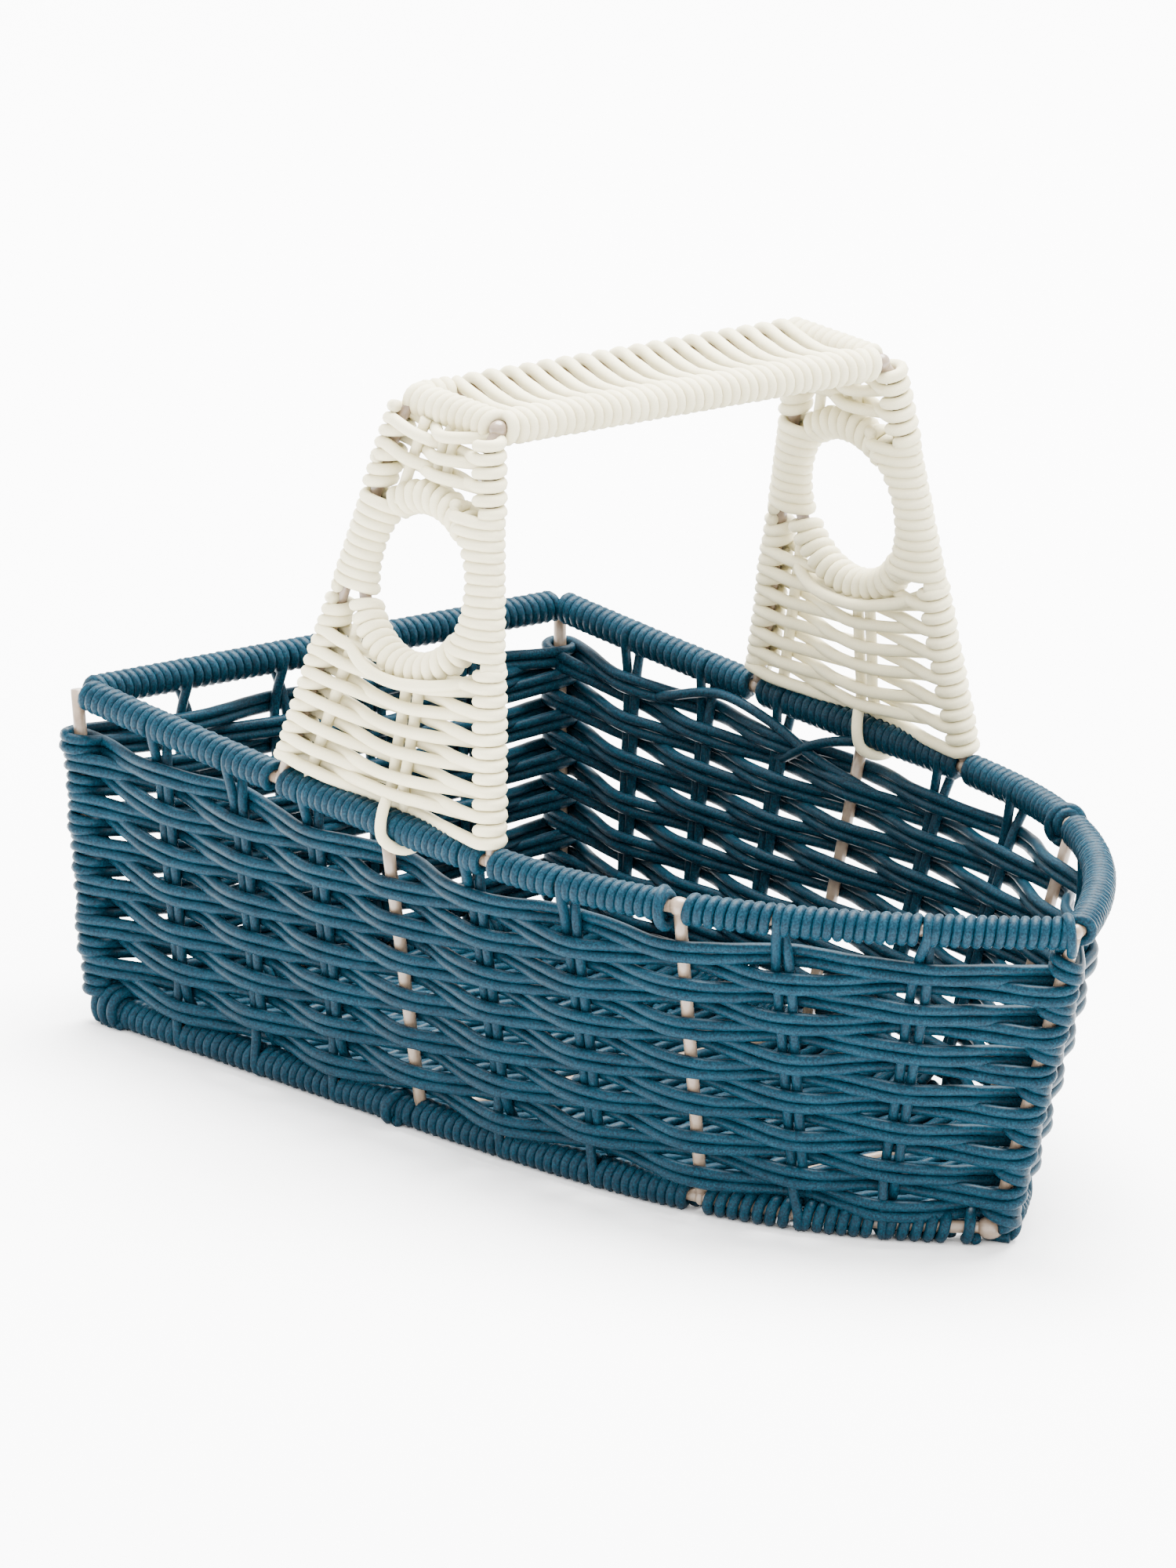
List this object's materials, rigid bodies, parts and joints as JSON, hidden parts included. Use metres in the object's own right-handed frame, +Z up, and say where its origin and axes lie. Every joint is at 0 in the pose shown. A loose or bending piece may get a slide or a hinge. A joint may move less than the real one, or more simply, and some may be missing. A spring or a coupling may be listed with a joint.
{
  "type": "cleaning caddy",
  "caption": "Boat-shaped wicker carrying caddy: welded wire frame wound with resin strand, open woven hull and a fixed arched handle with a round porthole in each side.",
  "frame": {"origin": "middle of the caddy's box on the surface that it stands on", "axes": "+X towards the pointed bow, +Y to port, +Z up"},
  "size_m": [0.3652, 0.2096, 0.2373],
  "materials": {
    "tan_paint": "glossy tan paint on welded steel wire",
    "blue_strand": "satin navy blue resin strand with a fine speckled grain",
    "cream_strand": "satin cream resin strand"
  },
  "bodies": {
    "root": {"aft_handle_hoop": "tan_paint", "base_rim_wire": "tan_paint", "base_wrap_port_aft": "blue_strand", "base_wrap_port_bow": "blue_strand", "base_wrap_port_mid": "blue_strand", "base_wrap_starboard_aft": "blue_strand", "base_wrap_starboard_bow": "blue_strand", "base_wrap_starboard_mid": "blue_strand", "base_wrap_stern": "blue_strand", "bow_post": "tan_paint", "cross_rod_port": "tan_paint", "cross_rod_starboard": "tan_paint", "cross_rod_wrap_port": "cream_strand", "cross_rod_wrap_starboard": "cream_strand", "floor_weave_aft": "blue_strand", "floor_weave_bow": "blue_strand", "floor_weave_mid": "blue_strand", "fore_floor_wire": "tan_paint", "fore_handle_hoop": "tan_paint", "fore_post_port": "tan_paint", "fore_post_starboard": "tan_paint", "handle_grip_weave": "cream_strand", "handle_lower_weave_port": "cream_strand", "handle_lower_weave_starboard": "cream_strand", "handle_upper_weave_port": "cream_strand", "handle_upper_weave_starboard": "cream_strand", "hull_weave_port_aft": "blue_strand", "hull_weave_port_bow": "blue_strand", "hull_weave_port_mid": "blue_strand", "hull_weave_starboard_aft": "blue_strand", "hull_weave_starboard_bow": "blue_strand", "hull_weave_starboard_mid": "blue_strand", "hull_weave_stern": "blue_strand", "leg_wrap_port_aft": "cream_strand", "leg_wrap_port_fore": "cream_strand", "leg_wrap_starboard_aft": "cream_strand", "leg_wrap_starboard_fore": "cream_strand", "mid_floor_wire": "tan_paint", "mid_post_port": "tan_paint", "mid_post_starboard": "tan_paint", "porthole_ring_port": "tan_paint", "porthole_ring_starboard": "tan_paint", "porthole_wrap_port_lower": "cream_strand", "porthole_wrap_port_upper": "cream_strand", "porthole_wrap_starboard_lower": "cream_strand", "porthole_wrap_starboard_upper": "cream_strand", "rim_wrap_port_aft": "blue_strand", "rim_wrap_port_bow": "blue_strand", "rim_wrap_port_fore": "blue_strand", "rim_wrap_port_mid": "blue_strand", "rim_wrap_starboard_aft": "blue_strand", "rim_wrap_starboard_bow": "blue_strand", "rim_wrap_starboard_fore": "blue_strand", "rim_wrap_starboard_mid": "blue_strand", "rim_wrap_stern": "blue_strand", "stern_post_port": "tan_paint", "stern_post_starboard": "tan_paint", "top_rim_wire": "tan_paint"}
  },
  "joints": []
}
